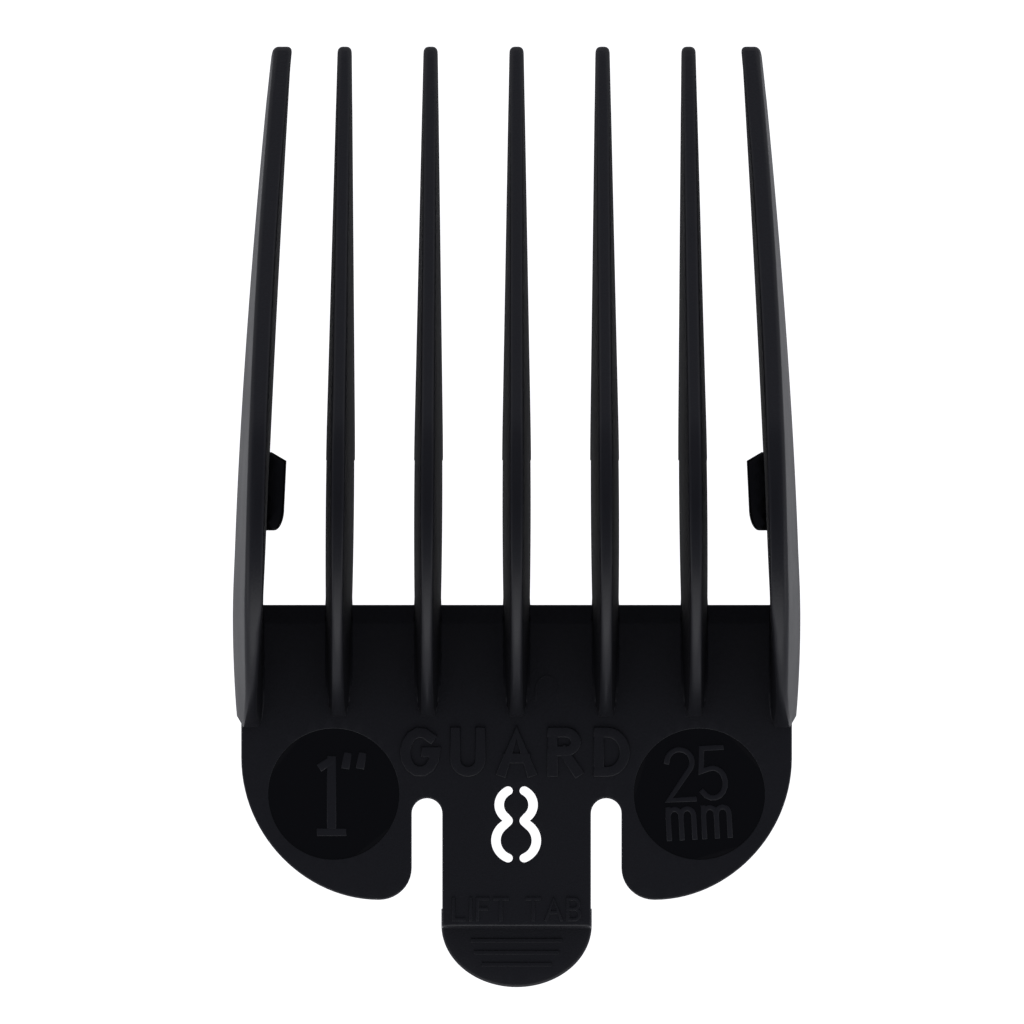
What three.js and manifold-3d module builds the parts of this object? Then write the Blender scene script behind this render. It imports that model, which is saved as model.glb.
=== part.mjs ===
// A clipper guard comb that leaves hair 25 mm long: a flat plate that sits on the clipper's blade,
// five ribs and two side teeth that lift the hair, lugs that hook under the blade's front corners,
// and a springy tongue at the back with a latch and a thumb lip.
//
// Millimetres. X runs across the comb, +Y points at the tips of the teeth, and +Z points away from
// the blade, towards the skin. Every shape below is drawn from one datum: Y = 0 is the plate's
// front edge and Z = 0 is the face that rests on the blade. The group at the end moves the whole
// comb so that the origin is the middle of its footprint, at the height of the surface it lies on.

import * as THREE from 'three';
import { mergeVertices } from 'three/addons/utils/BufferGeometryUtils.js';
import Module from 'manifold-3d';

const wasm = await Module();
wasm.setup();

// Plate
const PLATE_HALF_WIDTH = 25.2;
const PLATE_THICKNESS = 1.6;
const WING_END_Y = -27;
const WING_LOW_POINT_X = 12.6;
const WING_CURVE_START_Y = -14;
const WING_CURVE_PULL_Y = 7.15;
const WING_CURVE_PULL_X = 6.7;
const WING_INNER_X = 9.6;
const WING_CORNER_HEIGHT = 2.9;

// Slots beside the tongue, and the line where the tongue flexes
const TONGUE_HALF_WIDTH = 6.8;
const SLOT_TOP_Y = -17.7;
const SLOT_RADIUS = (WING_INNER_X - TONGUE_HALF_WIDTH) / 2;
const SLOT_CENTRE_X = (WING_INNER_X + TONGUE_HALF_WIDTH) / 2;
const SLOT_CENTRE_Y = SLOT_TOP_Y - SLOT_RADIUS;
const FLEX_GAP = 0.3;

// Tongue, latch and thumb lip
const TONGUE_END_Y = -29.4;
const STEP_THICKNESS = 1.5;
const STEP_FRONT_Y = TONGUE_END_Y + STEP_THICKNESS;
const LIP_TOP_Z = -2.6;
const LIP_HALF_WIDTH = 6.9;
const LIP_END_Y = -35.1;
const LATCH_HALF_WIDTH = 5.5;
const LATCH_REACH = 0.9;
const LATCH_TOP_Z = -2.9;
const LATCH_LEAD_IN = 0.6;

// Round polished pockets that carry the size markings
const POCKET_RADIUS = 6;
const POCKET_DEPTH = 0.25;
const POCKET_X = 16.73;
const POCKET_Y = -17.3;

// Figure eight cut through the plate and the tongue as a stencil with a bridge down its middle
const EIGHT_UPPER_Y = -18.3;
const EIGHT_UPPER_RADIUS = 1.9;
const EIGHT_LOWER_Y = -21.5;
const EIGHT_LOWER_RADIUS = 2.25;
const EIGHT_STROKE = 0.88;
const EIGHT_BRIDGE = 0.65;

// Teeth, seen from the side
const RIB_ROOT_Y = -10.2;
const SIDE_ROOT_Y = -11.2;
const ROOT_HEIGHT = 0.6;
const APEX_Y = 9;
const APEX_Z = 24;
const CREST_RADIUS = 14;
const FRONT_SLOPE = 0.701;
const TIP_Y = 51.2;
const TIP_RADIUS = 1;
const REST_Z = -4;
const BLADE_FRONT_Y = 13.2;
const SHIELD_Z = -1.8;

// Ribs, seen from above
const RIB_COUNT = 5;
const RIB_PITCH = 8.2;
const RIB_CONVERGENCE = 0.0006;
const RIDGE_HALF_WIDTH = 0.6;
const RIB_DRAFT = 0.0285;

// Side teeth, seen from above
const SIDE_INNER_X = 23.22;
const SIDE_INNER_TAPER = 0.04;
const SIDE_INNER_BEND = 0.0002;
const SIDE_OUTER_X = 26;
const SIDE_OUTER_TAPER = 0.00915;
const SIDE_OUTER_POWER = 1.505;
const SIDE_BULGE = 0.35;
const SIDE_BULGE_LENGTH = 9;
const SIDE_TUCK = 0.37;
const SIDE_TUCK_Y = -10;
const SIDE_RIDGE_X = 23.8;
const SIDE_RIDGE_HALF_WIDTH = 0.82;
const SIDE_RIDGE_LEAN = 0.023;
const SIDE_RIDGE_BEND = 0.0000094;
const SIDE_RIDGE_ROOT_TAPER = 0.04;
const SIDE_RIDGE_ROOT_SPREAD = 0.024;
const SIDE_RIDGE_SPREAD_Y = -7;
const SIDE_WALL_START_Y = 1.2;
const SIDE_WALL_FULL_Y = 5;

// Longest facets of the teeth: a rib's flanks are nearly flat, a side tooth's curve
const RIB_FACET_LENGTH = 80;
const SIDE_FACET_LENGTH = 8;

// Space for the blade between the side walls, and the lugs that reach under it
const BLADE_HALF_WIDTH = 23.2;
const LUG_INNER_X = 21.1;
const LUG_REAR_INNER_X = 21.35;
const LUG_FRONT_Y = 14;
const LUG_CHAMFER = 0.8;
const LUG_CHAMFER_WIDTH = 1.36;
const LUG_REAR_Y = 6.8;
const LUG_REAR_RADIUS = 1.2;
const LUG_TOP_Z = -2.2;

// How far a cutter reaches past what it cuts
const CUT_MARGIN = 1;

// How finely curves are stepped; points on a tooth's front slope crowd towards its crest
const CURVE_STEPS = 28;
const WING_STEPS = 16;
const POCKET_STEPS = 48;
const EIGHT_STEPS = 12;
const SMALL_ARC_STEPS = 8;
const FRONT_STEPS = 12;
const FRONT_STEP_CROWDING = 1.6;

const nylon = { color: 0x17171b, roughness: 0.45, metalness: 0 };
const polishedNylon = { color: 0x111114, roughness: 0.25, metalness: 0 };

function solidFrom(geometry) {
  const bare = geometry.clone();
  bare.deleteAttribute('normal');
  bare.deleteAttribute('uv');
  const merged = mergeVertices(bare);
  return new wasm.Manifold(new wasm.Mesh({
    numProp: 3,
    vertProperties: new Float32Array(merged.attributes.position.array),
    triVerts: new Uint32Array(merged.index.array),
  }));
}

function geometryFrom(solid) {
  const mesh = solid.getMesh();
  const geometry = new THREE.BufferGeometry();
  geometry.setAttribute('position', new THREE.BufferAttribute(mesh.vertProperties, 3));
  geometry.setIndex(new THREE.BufferAttribute(mesh.triVerts, 1));
  geometry.computeVertexNormals();
  return geometry;
}

function part(name, geometry, finish) {
  const mesh = new THREE.Mesh(geometry, new THREE.MeshStandardMaterial(finish));
  mesh.name = name;
  return mesh;
}

// A flat outline in X and Y, raised between two heights.
function slab(shape, bottom, top, curveSegments = CURVE_STEPS) {
  const geometry = new THREE.ExtrudeGeometry(shape, {
    depth: top - bottom, bevelEnabled: false, curveSegments,
  });
  return geometry.translate(0, 0, bottom);
}

function block(low, high) {
  const size = high.map((value, axis) => value - low[axis]);
  const centre = high.map((value, axis) => (value + low[axis]) / 2);
  return new THREE.BoxGeometry(...size).translate(...centre);
}

// ---- Plate and tongue ----

// Half a ring that leaves room for the bridge down the middle of the figure.
function halfRing(side, centreY, outerRadius) {
  const innerRadius = outerRadius - EIGHT_STROKE;
  const outerStop = Math.acos(EIGHT_BRIDGE / 2 / outerRadius);
  const innerStop = Math.acos(EIGHT_BRIDGE / 2 / innerRadius);
  const facing = side > 0 ? 0 : Math.PI;
  const shape = new THREE.Shape();
  shape.absarc(0, centreY, outerRadius, facing - outerStop, facing + outerStop, false);
  shape.absarc(0, centreY, innerRadius, facing + innerStop, facing - innerStop, true);
  shape.closePath();
  return shape;
}

function cutFigureEight(solid) {
  const loops = [[EIGHT_UPPER_Y, EIGHT_UPPER_RADIUS], [EIGHT_LOWER_Y, EIGHT_LOWER_RADIUS]];
  let cut = solid;
  for (const side of [-1, 1]) {
    for (const [centreY, radius] of loops) {
      const ring = slab(
        halfRing(side, centreY, radius), -CUT_MARGIN, PLATE_THICKNESS + CUT_MARGIN, EIGHT_STEPS,
      );
      cut = cut.subtract(solidFrom(ring));
    }
  }
  return cut;
}

function plateOutline() {
  const shape = new THREE.Shape();
  shape.moveTo(-PLATE_HALF_WIDTH, 0);
  shape.lineTo(-PLATE_HALF_WIDTH, WING_CURVE_START_Y);
  shape.bezierCurveTo(
    -PLATE_HALF_WIDTH, WING_CURVE_START_Y - WING_CURVE_PULL_Y,
    -WING_LOW_POINT_X - WING_CURVE_PULL_X, WING_END_Y,
    -WING_LOW_POINT_X, WING_END_Y,
  );
  shape.absellipse(
    -WING_LOW_POINT_X, WING_END_Y + WING_CORNER_HEIGHT,
    WING_LOW_POINT_X - WING_INNER_X, WING_CORNER_HEIGHT, -Math.PI / 2, 0, false,
  );
  shape.absarc(-SLOT_CENTRE_X, SLOT_CENTRE_Y, SLOT_RADIUS, Math.PI, Math.PI / 2, true);
  shape.absarc(SLOT_CENTRE_X, SLOT_CENTRE_Y, SLOT_RADIUS, Math.PI / 2, 0, true);
  shape.absellipse(
    WING_LOW_POINT_X, WING_END_Y + WING_CORNER_HEIGHT,
    WING_LOW_POINT_X - WING_INNER_X, WING_CORNER_HEIGHT, Math.PI, Math.PI * 1.5, false,
  );
  shape.bezierCurveTo(
    WING_LOW_POINT_X + WING_CURVE_PULL_X, WING_END_Y,
    PLATE_HALF_WIDTH, WING_CURVE_START_Y - WING_CURVE_PULL_Y,
    PLATE_HALF_WIDTH, WING_CURVE_START_Y,
  );
  shape.lineTo(PLATE_HALF_WIDTH, 0);
  shape.closePath();
  return shape;
}

function basePlate() {
  let plate = solidFrom(slab(plateOutline(), 0, PLATE_THICKNESS, WING_STEPS));
  const height = POCKET_DEPTH + CUT_MARGIN;
  for (const side of [-1, 1]) {
    const pocket = new THREE.CylinderGeometry(POCKET_RADIUS, POCKET_RADIUS, height, POCKET_STEPS);
    pocket.rotateX(Math.PI / 2);
    pocket.translate(side * POCKET_X, POCKET_Y, PLATE_THICKNESS - POCKET_DEPTH + height / 2);
    plate = plate.subtract(solidFrom(pocket));
  }
  return part('base_plate', geometryFrom(cutFigureEight(plate)), nylon);
}

// The tongue's root flares along the slots' round tops, as far as the flex line.
function tongueOutline() {
  const flare = Math.asin((SLOT_RADIUS - FLEX_GAP) / SLOT_RADIUS);
  const shape = new THREE.Shape();
  shape.moveTo(-TONGUE_HALF_WIDTH, TONGUE_END_Y);
  shape.lineTo(TONGUE_HALF_WIDTH, TONGUE_END_Y);
  shape.absarc(SLOT_CENTRE_X, SLOT_CENTRE_Y, SLOT_RADIUS, Math.PI, Math.PI - flare, true);
  shape.absarc(-SLOT_CENTRE_X, SLOT_CENTRE_Y, SLOT_RADIUS, flare, 0, true);
  shape.closePath();
  return shape;
}

function releaseTongue() {
  const tongue = solidFrom(slab(tongueOutline(), 0, PLATE_THICKNESS, SMALL_ARC_STEPS));
  return part('release_tongue', geometryFrom(cutFigureEight(tongue)), nylon);
}

// The wall that drops from the tongue behind the blade's rear edge.
function rearStep() {
  const geometry = block(
    [-TONGUE_HALF_WIDTH, TONGUE_END_Y, LIP_TOP_Z],
    [TONGUE_HALF_WIDTH, STEP_FRONT_Y, 0],
  );
  return part('rear_step', geometry, nylon);
}

function thumbLip() {
  const shape = new THREE.Shape();
  shape.moveTo(LIP_HALF_WIDTH, STEP_FRONT_Y);
  shape.lineTo(-LIP_HALF_WIDTH, STEP_FRONT_Y);
  shape.absellipse(
    0, TONGUE_END_Y, LIP_HALF_WIDTH, TONGUE_END_Y - LIP_END_Y, Math.PI, Math.PI * 2, false,
  );
  shape.closePath();
  return part('thumb_lip', slab(shape, REST_Z, LIP_TOP_Z), nylon);
}

// The ledge that reaches forward under the blade's rear edge, with a sloped lead-in below it.
function latchHook() {
  const shape = new THREE.Shape();
  shape.moveTo(STEP_FRONT_Y, REST_Z);
  shape.lineTo(STEP_FRONT_Y + LATCH_REACH - LATCH_LEAD_IN, REST_Z);
  shape.lineTo(STEP_FRONT_Y + LATCH_REACH, REST_Z + LATCH_LEAD_IN);
  shape.lineTo(STEP_FRONT_Y + LATCH_REACH, LATCH_TOP_Z);
  shape.lineTo(STEP_FRONT_Y, LATCH_TOP_Z);
  shape.closePath();
  const geometry = new THREE.ExtrudeGeometry(shape, {
    depth: LATCH_HALF_WIDTH * 2, bevelEnabled: false,
  });
  standOnEdge(geometry);
  geometry.translate(-LATCH_HALF_WIDTH, 0, 0);
  return part('latch_hook', geometry, nylon);
}

// ---- Teeth ----

// Turns an outline drawn in (Y, Z) and extruded upwards so that it is extruded along X.
function standOnEdge(geometry) {
  const position = geometry.attributes.position;
  for (let i = 0; i < position.count; i += 1) {
    position.setXYZ(i, position.getZ(i), position.getX(i), position.getY(i));
  }
  geometry.computeVertexNormals();
}

// Height of a tooth's ridge: a quarter ellipse up from its root, an arc over the crest, and a
// straight run down to the tip.
function ridgeHeight(y, rootY) {
  const crestRun = CREST_RADIUS * Math.sin(Math.atan(FRONT_SLOPE));
  if (y < APEX_Y) {
    const along = Math.min(1, (APEX_Y - y) / (APEX_Y - rootY));
    const rise = APEX_Z - PLATE_THICKNESS - ROOT_HEIGHT;
    return PLATE_THICKNESS + ROOT_HEIGHT + rise * Math.sqrt(1 - along * along);
  }
  const run = Math.min(y - APEX_Y, crestRun);
  const crest = APEX_Z - CREST_RADIUS + Math.sqrt(CREST_RADIUS ** 2 - run ** 2);
  return crest - FRONT_SLOPE * (y - APEX_Y - run);
}

// Side view of a tooth in (Y, Z): along its lower edge to the tip, then back over the ridge.
function toothOutline(rootY, lowerEdge) {
  const slopeAngle = Math.atan(FRONT_SLOPE);
  const tipCentreY = TIP_Y - TIP_RADIUS;
  const tipCentreZ = REST_Z + TIP_RADIUS;
  const shape = new THREE.Shape();
  lowerEdge.forEach(([y, z], index) => {
    if (index === 0) {
      shape.moveTo(y, z);
    } else {
      shape.lineTo(y, z);
    }
  });
  shape.absarc(
    tipCentreY, tipCentreZ, TIP_RADIUS, -Math.PI / 2, Math.PI / 2 - slopeAngle, false,
  );
  for (let i = FRONT_STEPS - 1; i >= 0; i -= 1) {
    const y = APEX_Y + (tipCentreY - APEX_Y) * (i / FRONT_STEPS) ** FRONT_STEP_CROWDING;
    shape.lineTo(y, ridgeHeight(y, rootY));
  }
  for (let i = 1; i <= CURVE_STEPS; i += 1) {
    const y = APEX_Y - (APEX_Y - rootY) * Math.sin((i / CURVE_STEPS) * Math.PI / 2);
    shape.lineTo(y, ridgeHeight(y, rootY));
  }
  shape.closePath();
  return shape;
}

// A tooth: its side view, given its plan by widthAt(y, z), which returns the X of the two flanks.
// Its facets are no longer than facetLength, so that a flank can curve.
function toothSolid(rootY, lowerEdge, widthAt, facetLength) {
  const geometry = new THREE.ExtrudeGeometry(toothOutline(rootY, lowerEdge), {
    depth: 1, bevelEnabled: false, curveSegments: SMALL_ARC_STEPS,
  });
  standOnEdge(geometry);
  return solidFrom(geometry).refineToLength(facetLength).warp((vertex) => {
    const [low, high] = widthAt(vertex[1], vertex[2]);
    vertex[0] = vertex[0] > 0 ? high : low;
  });
}

function rib(index) {
  const offset = (index - (RIB_COUNT + 1) / 2) * RIB_PITCH;
  const lowerEdge = [
    [RIB_ROOT_Y, PLATE_THICKNESS],
    [0, PLATE_THICKNESS],
    [0, 0],
    [BLADE_FRONT_Y, 0],
    [BLADE_FRONT_Y, SHIELD_Z],
    [TIP_Y - TIP_RADIUS, REST_Z],
  ];
  const widthAt = (y, z) => {
    const centre = offset * (1 - RIB_CONVERGENCE * Math.max(0, y));
    const depth = Math.max(0, ridgeHeight(y, RIB_ROOT_Y) - z);
    const half = RIDGE_HALF_WIDTH + RIB_DRAFT * depth;
    return [centre - half, centre + half];
  };
  const solid = toothSolid(RIB_ROOT_Y, lowerEdge, widthAt, RIB_FACET_LENGTH);
  return part(`rib_${index}`, geometryFrom(solid), nylon);
}

// X of a side tooth's outer foot: it swells from the plate's edge, then leans in to the tip.
function sideOuterX(y) {
  if (y < -1) {
    const swell = SIDE_OUTER_X - SIDE_BULGE * ((-1 - y) / SIDE_BULGE_LENGTH) ** 2;
    return swell - SIDE_TUCK * Math.max(0, SIDE_TUCK_Y - y) ** 2;
  }
  return SIDE_OUTER_X - SIDE_OUTER_TAPER * (y + 1) ** SIDE_OUTER_POWER;
}

// A side tooth's lower edge steps down from the plate's underside to the level of the tips.
function sideFootZ(y) {
  const along = (y - SIDE_WALL_START_Y) / (SIDE_WALL_FULL_Y - SIDE_WALL_START_Y);
  return REST_Z * THREE.MathUtils.clamp(along, 0, 1);
}

// X of a side tooth's ridge: it narrows and swings out towards its root, and leans in ahead.
function sideRidge(y) {
  if (y < 0) {
    const outer = SIDE_RIDGE_X + SIDE_RIDGE_HALF_WIDTH;
    const inner = outer - 2 * (SIDE_RIDGE_HALF_WIDTH + SIDE_RIDGE_ROOT_TAPER * y);
    const beyond = Math.max(0, SIDE_RIDGE_SPREAD_Y - y);
    return [inner, outer + SIDE_RIDGE_ROOT_SPREAD * beyond ** 2];
  }
  const centre = SIDE_RIDGE_X - SIDE_RIDGE_LEAN * y - SIDE_RIDGE_BEND * y ** 3;
  return [centre - SIDE_RIDGE_HALF_WIDTH, centre + SIDE_RIDGE_HALF_WIDTH];
}

function sideTooth(name, side) {
  const lowerEdge = [
    [SIDE_ROOT_Y, 0],
    [SIDE_WALL_START_Y, 0],
    [SIDE_WALL_FULL_Y, REST_Z],
    [TIP_Y - TIP_RADIUS, REST_Z],
  ];
  const widthAt = (y, z) => {
    const ahead = Math.max(0, y);
    const ridge = ridgeHeight(y, SIDE_ROOT_Y);
    const drop = THREE.MathUtils.clamp((ridge - z) / (ridge - sideFootZ(y)), 0, 1);
    const innerFoot = SIDE_INNER_X - SIDE_INNER_TAPER * ahead - SIDE_INNER_BEND * ahead ** 2;
    const [ridgeInner, ridgeOuter] = sideRidge(y);
    const inner = THREE.MathUtils.lerp(ridgeInner, innerFoot, drop);
    const outer = THREE.MathUtils.lerp(ridgeOuter, sideOuterX(y), drop);
    return side > 0 ? [inner, outer] : [-outer, -inner];
  };
  const bladeSpace = block(
    [-BLADE_HALF_WIDTH, WING_END_Y, REST_Z - CUT_MARGIN],
    [BLADE_HALF_WIDTH, LUG_FRONT_Y, 0],
  );
  const plateSpace = block(
    [-PLATE_HALF_WIDTH, WING_END_Y, -CUT_MARGIN],
    [PLATE_HALF_WIDTH, 0, PLATE_THICKNESS],
  );
  const tooth = toothSolid(SIDE_ROOT_Y, lowerEdge, widthAt, SIDE_FACET_LENGTH)
    .subtract(solidFrom(bladeSpace))
    .subtract(solidFrom(plateSpace));
  return part(name, geometryFrom(tooth), nylon);
}

// A lug reaches inwards from the side tooth's wall, under the blade's front corner.
function sideLug(name, side) {
  const shape = new THREE.Shape();
  shape.moveTo(BLADE_HALF_WIDTH, LUG_REAR_Y);
  shape.lineTo(BLADE_HALF_WIDTH, LUG_FRONT_Y);
  shape.lineTo(LUG_INNER_X + LUG_CHAMFER_WIDTH, LUG_FRONT_Y);
  shape.lineTo(LUG_INNER_X, LUG_FRONT_Y - LUG_CHAMFER);
  shape.lineTo(LUG_REAR_INNER_X, LUG_REAR_Y + LUG_REAR_RADIUS);
  shape.absarc(
    LUG_REAR_INNER_X + LUG_REAR_RADIUS, LUG_REAR_Y + LUG_REAR_RADIUS,
    LUG_REAR_RADIUS, Math.PI, Math.PI * 1.5, false,
  );
  shape.closePath();
  const geometry = slab(shape, REST_Z, LUG_TOP_Z, SMALL_ARC_STEPS);
  if (side < 0) {
    geometry.rotateY(Math.PI);
    geometry.translate(0, 0, REST_Z + LUG_TOP_Z);
  }
  return part(name, geometry, polishedNylon);
}

// ---- Assembly ----

const comb = new THREE.Group();
comb.position.set(0, -(TIP_Y + LIP_END_Y) / 2, -REST_Z);

const tongueGroup = new THREE.Group();
tongueGroup.add(releaseTongue(), rearStep(), latchHook(), thumbLip());

comb.add(basePlate(), tongueGroup);
for (let index = 1; index <= RIB_COUNT; index += 1) {
  comb.add(rib(index));
}
comb.add(sideTooth('side_tooth_left', -1), sideTooth('side_tooth_right', 1));
comb.add(sideLug('side_lug_left', -1), sideLug('side_lug_right', 1));

export default comb;
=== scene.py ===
"""Looks of a moulded black nylon clipper guard comb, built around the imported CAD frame.

Lengths are millimetres until a piece is placed. Shapes are drawn from the CAD's own datum: Y = 0 is
the plate's front edge, Z = 0 is the face that rests on the blade, and +Y points at the tooth tips.
"""

import math

import bmesh
import bpy
import numpy as np
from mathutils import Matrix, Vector
from mathutils.geometry import delaunay_2d_cdt


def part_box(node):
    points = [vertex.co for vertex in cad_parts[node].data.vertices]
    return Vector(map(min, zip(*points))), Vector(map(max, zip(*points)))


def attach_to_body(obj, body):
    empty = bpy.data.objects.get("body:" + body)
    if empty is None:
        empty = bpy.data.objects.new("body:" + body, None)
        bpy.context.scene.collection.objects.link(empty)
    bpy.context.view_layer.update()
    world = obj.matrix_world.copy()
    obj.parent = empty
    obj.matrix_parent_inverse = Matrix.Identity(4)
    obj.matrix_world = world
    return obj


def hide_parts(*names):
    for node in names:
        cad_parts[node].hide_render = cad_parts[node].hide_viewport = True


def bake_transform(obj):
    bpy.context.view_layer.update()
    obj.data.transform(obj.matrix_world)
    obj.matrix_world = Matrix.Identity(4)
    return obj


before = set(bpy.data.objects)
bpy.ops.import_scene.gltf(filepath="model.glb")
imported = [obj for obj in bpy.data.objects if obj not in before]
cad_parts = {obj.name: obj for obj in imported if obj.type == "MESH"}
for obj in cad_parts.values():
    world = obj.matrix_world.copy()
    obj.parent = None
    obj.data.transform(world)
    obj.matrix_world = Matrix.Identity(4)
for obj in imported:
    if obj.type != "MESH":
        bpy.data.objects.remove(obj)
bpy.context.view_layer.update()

MM = 0.001


def box_mm(node):
    """Lowest and highest corner of a CAD node, in millimetres from the datum."""
    low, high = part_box(node)
    return (low - DATUM) / MM, (high - DATUM) / MM


plate_low, plate_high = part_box("base_plate")
DATUM = Vector((0, plate_high.y, plate_low.z))

# ---- Sizes read from the frame ----
PLATE_LOW, PLATE_HIGH = box_mm("base_plate")
RIB_LOW, RIB_HIGH = box_mm("rib_3")
STEP_LOW, STEP_HIGH = box_mm("rear_step")
LIP_LOW, LIP_HIGH = box_mm("thumb_lip")
LATCH_LOW, LATCH_HIGH = box_mm("latch_hook")
LUG_LOW, LUG_HIGH = box_mm("side_lug_right")

PLATE_HALF_WIDTH = PLATE_HIGH.x
PLATE_THICKNESS = PLATE_HIGH.z
WING_END_Y = PLATE_LOW.y
TONGUE_HALF_WIDTH = STEP_HIGH.x
TONGUE_END_Y = STEP_LOW.y
REST_Z = RIB_LOW.z
APEX_Z = RIB_HIGH.z
TIP_Y = RIB_HIGH.y
RIB_ROOT_Y = RIB_LOW.y
SIDE_ROOT_Y = box_mm("side_tooth_right")[0].y
RIB_PITCH = box_mm("rib_5")[0].x - box_mm("rib_4")[0].x

# ---- How finely shapes are drawn ----
CORNER_STEPS = 4
GRID_ROW = 0.87
PLATE_GRID = 1.6
TONGUE_GRID = 0.7
TOOTH_GRID = 1.3
TOOTH_GRID_MARGIN = 1.25
MITRE_LIMIT = 0.4
STROKE_MITRE_LIMIT = 0.5
FLANK_FACING = (0.9, 0.985)
BOW = 0.0005

# ---- Sizes of the moulding's details ----
EDGE_RADIUS = 0.2
HIDDEN_EDGE_RADIUS = 0.01

FRONT_BEVEL_DEPTH = 1.7
FRONT_BEVEL_DROP = 0.4

WING_LOW_POINT_X = 12.6
WING_CURVE_START_Y = -14
WING_CURVE_PULL = (6.7, 7.15)
WING_INNER_X = 9.6
WING_CORNER_HEIGHT = 2.9
SLOT_TOP_Y = -17.7
SLOT_RADIUS = (WING_INNER_X - TONGUE_HALF_WIDTH) / 2
SLOT_CENTRE_X = (WING_INNER_X + TONGUE_HALF_WIDTH) / 2
SEAM_Y = SLOT_TOP_Y + 0.15

POCKET_RADIUS = 6
POCKET_DEPTH = 0.12
POCKET_EDGE_RADIUS = 0.05
POCKET_OVERLAP = 0.05
POCKET_FLOOR_Z = PLATE_THICKNESS - POCKET_DEPTH
POCKET_X = 16.73
POCKET_Y = -17.3

EIGHT_X = -0.04
EIGHT_UPPER_Y = -18.31
EIGHT_UPPER_RADIUS = 1.98
EIGHT_LOWER_Y = -21.57
EIGHT_LOWER_RADIUS = 2.28
EIGHT_STROKE = 0.86
EIGHT_BRIDGE = 0.62
EIGHT_SQUEEZE = 0.948
EIGHT_KNOB_RADIUS = 0.56
EIGHT_EDGE_RADIUS = 0.09
EIGHT_REACH = (2.5, 6)

STEP_WALL_SLANT = 0.32
STEP_OVERHANG = 0.06
STEP_OVERLAP = 0.3
STEP_EDGE_RADIUS = 0.12
LATCH_LEAD_IN = 0.6
LATCH_EDGE_RADIUS = 0.1
LIP_SLOPE = 0.05
LIP_EDGE_RADIUS = 0.3

APEX_Y = 9
CREST_RADIUS = 14
FRONT_SLOPE = 0.701
TIP_RADIUS = 1
BLADE_FRONT_Y = 13.2
SHIELD_Z = -1.8
RIDGE_HALF_WIDTH = 0.62
RIDGE_ROOT_HALF_WIDTH = 0.52
RIDGE_ROOT_RADIUS = 0.45
RIDGE_RADIUS = 0.34
TIP_CORNER_RADIUS = 0.45
TIP_START_Y = TIP_Y - 5 * TIP_RADIUS
TIP_ROUNDING_LENGTH = 4 * TIP_RADIUS
ROOT_ROUNDING_LENGTH = 5
RIDGE_BAND = 0.3
FOOT_RADIUS = 0.12
ROOT_FILLET = 0.2
ROOT_FILLET_MOST = 0.4
ROOT_FILLET_FADE = 3
ROOT_FILLET_END_Y = -1.5
ROOT_FILLET_SHARES = (0.08, 0.25, 0.5, 0.8, 1.02, 1.7)
SINK = 0.15
FRONT_OVERLAP = 0.3
RIB_DRAFT = 0.0285
RIB_CONVERGENCE = 0.0006

BLADE_HALF_WIDTH = 23.2
SIDE_INNER_X = 23.22
SIDE_INNER_TAPER = 0.04
SIDE_INNER_BEND = 0.0002
SIDE_OUTER_X = 26
SIDE_OUTER_TAPER = 0.00915
SIDE_OUTER_POWER = 1.505
SIDE_BULGE = 0.35
SIDE_BULGE_LENGTH = 9
SIDE_TUCK = 0.37
SIDE_TUCK_Y = -10
SIDE_RIDGE_X = 23.8
SIDE_RIDGE_HALF_WIDTH = 0.82
SIDE_RIDGE_LEAN = 0.023
SIDE_RIDGE_BEND = 0.0000094
SIDE_RIDGE_ROOT_TAPER = 0.04
SIDE_RIDGE_ROOT_SPREAD = 0.024
SIDE_RIDGE_SPREAD_Y = -7
SIDE_WALL_START_Y = 1.2
SIDE_WALL_FULL_Y = 5
SIDE_ROOT_INNER_RADIUS = 0.95
SIDE_OUTER_RADII = ((-11.2, 0.1), (-8, 0.35), (-4, 0.7), (10, 0.75), (20, 0.42))
LUG_END_RADII = (0.95, 2.1)
LUG_ROOT_DEPTH = 0.2
LUG_REAR_DRAFT = 0.2
LUG_CHAMFER = (1.36, 0.8)
LUG_EDGE_RADIUS = 0.2

MARK_SINK = 0.06
MARK_EDGE_RADIUS = 0.09
MARK_STAGGER = 0.004


# ---- Outlines ----

def arc(centre, radii, start, end, steps=12):
    """Points along an ellipse's arc, from start to end in degrees."""
    angles = np.radians(np.linspace(start, end, steps + 1))
    return [(centre[0] + radii[0] * math.cos(a), centre[1] + radii[1] * math.sin(a)) for a in angles]


def line(start, end, spacing=1.0):
    """Points from start up to end, which is left out."""
    count = max(1, round(math.dist(start, end) / spacing))
    return [tuple(np.array(start) + (np.array(end) - start) * i / count) for i in range(count)]


def bezier(p0, p1, p2, p3, steps=20):
    points = []
    for t in np.linspace(0, 1, steps + 1):
        weights = ((1 - t) ** 3, 3 * t * (1 - t) ** 2, 3 * t * t * (1 - t), t ** 3)
        points.append(tuple(sum(w * np.array(p) for w, p in zip(weights, (p0, p1, p2, p3)))))
    return points


def without_repeats(points, closest=0.004):
    kept = []
    for point in points:
        if not kept or math.dist(point, kept[-1]) > closest:
            kept.append(point)
    if math.dist(kept[0], kept[-1]) <= closest:
        kept.pop()
    return kept


def mirrored(points):
    """The same outline on the other side of X = 0, still anticlockwise."""
    return [(-x, y) for x, y in reversed(points)]


def inward(loop):
    """For each point of a loop, the move that insets both of its edges by 1."""
    points = np.array(loop, float)
    before = points - np.roll(points, 1, axis=0)
    after = np.roll(points, -1, axis=0) - points
    normals = []
    for edge in (before, after):
        edge /= np.linalg.norm(edge, axis=1)[:, None]
        normals.append(np.stack([-edge[:, 1], edge[:, 0]], axis=1))
    middle = normals[0] + normals[1]
    stretch = np.clip((middle * normals[0]).sum(axis=1), MITRE_LIMIT, None)
    return middle / stretch[:, None]


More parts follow.
